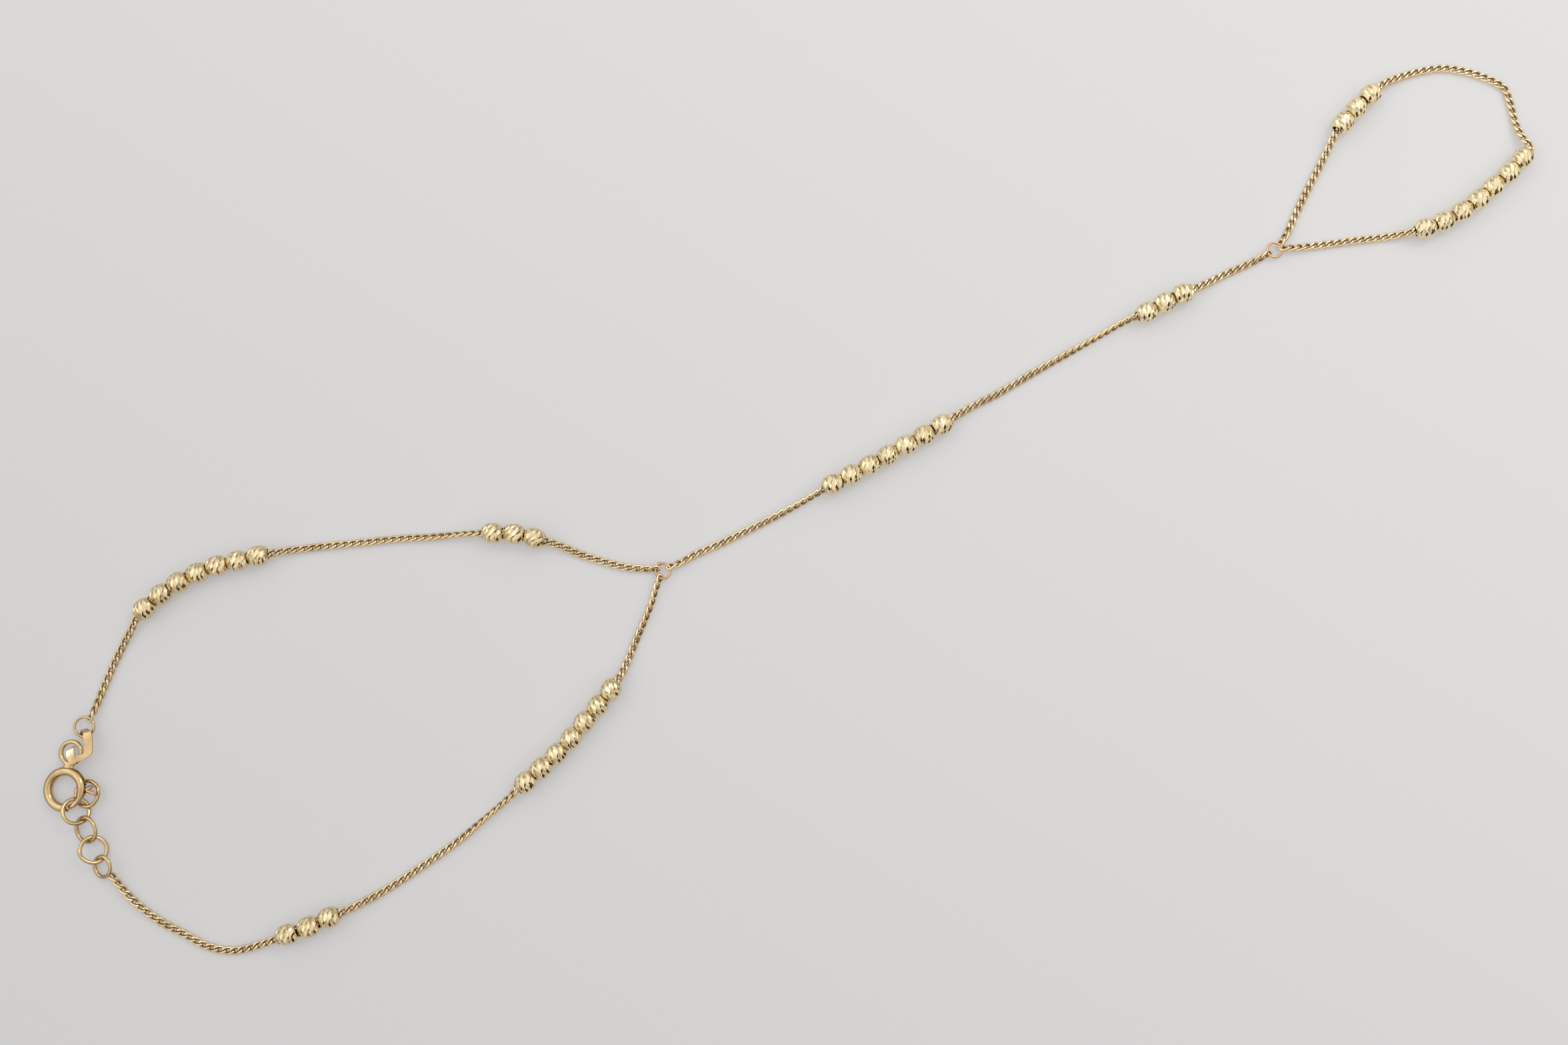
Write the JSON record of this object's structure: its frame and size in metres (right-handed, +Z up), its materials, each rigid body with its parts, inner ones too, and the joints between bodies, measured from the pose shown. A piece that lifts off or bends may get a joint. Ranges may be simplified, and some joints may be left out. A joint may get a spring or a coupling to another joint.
{
  "type": "hand chain bracelet",
  "caption": "Fine gold hand chain: a wrist loop with a spring ring clasp and a smaller finger loop, joined by a chain over the hand, with stations of faceted beads.",
  "frame": {"origin": "centre of the laid-out bracelet on the surface that it lies on", "axes": "+X from the clasp to the finger loop, +Y away from the viewer, +Z up from the surface"},
  "size_m": [0.1831, 0.1101, 0.0025],
  "materials": {
    "bead_gold": "polished, diamond-cut",
    "chain_gold": "polished",
    "clasp_gold": "polished, lightly worn",
    "rose_gold": "polished"
  },
  "bodies": {
    "bracelet": {"hand_chain": "chain_gold", "finger_chain": "chain_gold", "wrist_chain_left": "chain_gold", "wrist_chain_right": "chain_gold", "finger_ring_link": "rose_gold", "wrist_ring_link": "rose_gold", "clasp_jump_ring": "clasp_gold", "clasp_band": "clasp_gold", "spring_ring": "clasp_gold", "extension_link_1": "clasp_gold", "extension_link_2": "clasp_gold", "extension_link_3": "clasp_gold", "extension_link_4": "clasp_gold", "extension_link_5": "clasp_gold", "finger_bead_1": "bead_gold", "finger_bead_2": "bead_gold", "finger_bead_3": "bead_gold", "finger_bead_4": "bead_gold", "finger_bead_5": "bead_gold", "finger_bead_6": "bead_gold", "finger_bead_7": "bead_gold", "finger_bead_8": "bead_gold", "finger_bead_9": "bead_gold", "finger_bead_10": "bead_gold", "hand_bead_1": "bead_gold", "hand_bead_2": "bead_gold", "hand_bead_3": "bead_gold", "hand_bead_4": "bead_gold", "hand_bead_5": "bead_gold", "hand_bead_6": "bead_gold", "hand_bead_7": "bead_gold", "hand_bead_8": "bead_gold", "hand_bead_9": "bead_gold", "hand_bead_10": "bead_gold", "left_bead_1": "bead_gold", "left_bead_2": "bead_gold", "left_bead_3": "bead_gold", "left_bead_4": "bead_gold", "left_bead_5": "bead_gold", "left_bead_6": "bead_gold", "left_bead_7": "bead_gold", "left_bead_8": "bead_gold", "left_bead_9": "bead_gold", "left_bead_10": "bead_gold", "right_bead_1": "bead_gold", "right_bead_2": "bead_gold", "right_bead_3": "bead_gold", "right_bead_4": "bead_gold", "right_bead_5": "bead_gold", "right_bead_6": "bead_gold", "right_bead_7": "bead_gold", "right_bead_8": "bead_gold", "right_bead_9": "bead_gold", "right_bead_10": "bead_gold"},
    "bolt": {"spring_bolt": "clasp_gold"}
  },
  "joints": [
    {"name": "bolt_slide", "type": "hinge", "parent": "bracelet", "child": "bolt", "pos_m": [-0.0888, -0.0354, 0.00091], "axis": [-0.165, 0, 0.9863], "range_deg": [0, 50], "stiffness_Nm_per_rad": 0.002, "springref_deg": -17.19}
  ]
}
